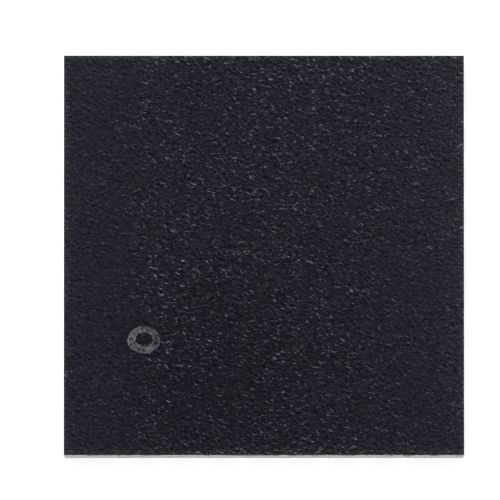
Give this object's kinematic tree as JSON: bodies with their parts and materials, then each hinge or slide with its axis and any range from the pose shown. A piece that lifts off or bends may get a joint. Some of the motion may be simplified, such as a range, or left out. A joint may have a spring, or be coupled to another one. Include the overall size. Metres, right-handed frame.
{
  "type": "power stage chip",
  "caption": "Flat square chip package with no legs: black moulded block with tinned lands round its underside and cut flush in its sides.",
  "frame": {"origin": "centre of the underside, in the plane of the solderable lands", "axes": "+Z from the board up to the marked face, -X -Y towards the corner of lead 1, +Y towards the comb of output lands"},
  "size_m": [0.005, 0.005, 0.0008],
  "materials": {
    "moulding_compound": "matte black moulding compound with pale filler grains",
    "tinned_copper": "matte tin over etched copper",
    "bare_copper": "rolled copper sheet",
    "wire_copper": "drawn copper wire",
    "solder": "reflowed solder",
    "die_glue": "silver-filled die glue",
    "silicon": "polished silicon"
  },
  "bodies": {
    "root": {"mould_body": "moulding_compound", "lead_01_control": "tinned_copper", "lead_02_mode": "tinned_copper", "lead_03_logic_supply": "tinned_copper", "lead_05_boot": "tinned_copper", "lead_06_spare": "tinned_copper", "lead_07_phase": "tinned_copper", "lead_29_driver_supply": "tinned_copper", "lead_30_temperature": "tinned_copper", "lead_31_enable": "tinned_copper", "driver_paddle": "tinned_copper", "input_paddle": "tinned_copper", "ground_paddle": "tinned_copper", "low_side_gate_pad": "tinned_copper", "switch_comb": "tinned_copper", "solder_high_side_drain": "solder", "solder_low_side_source": "solder", "solder_low_side_gate": "solder", "solder_low_side_drain": "solder", "solder_high_side_source": "solder", "solder_clip_foot": "solder", "driver_die_glue": "die_glue", "high_side_die": "silicon", "low_side_die": "silicon", "driver_die": "silicon", "copper_clip": "bare_copper", "wire_control": "wire_copper", "wire_mode": "wire_copper", "wire_logic_supply": "wire_copper", "wire_boot": "wire_copper", "wire_driver_supply": "wire_copper", "wire_temperature": "wire_copper", "wire_enable": "wire_copper", "wire_low_side_gate": "wire_copper", "wire_power_ground": "wire_copper", "wire_driver_ground": "wire_copper", "wire_high_side_gate": "wire_copper", "wire_high_side_source": "wire_copper", "wire_phase": "wire_copper"}
  },
  "joints": []
}
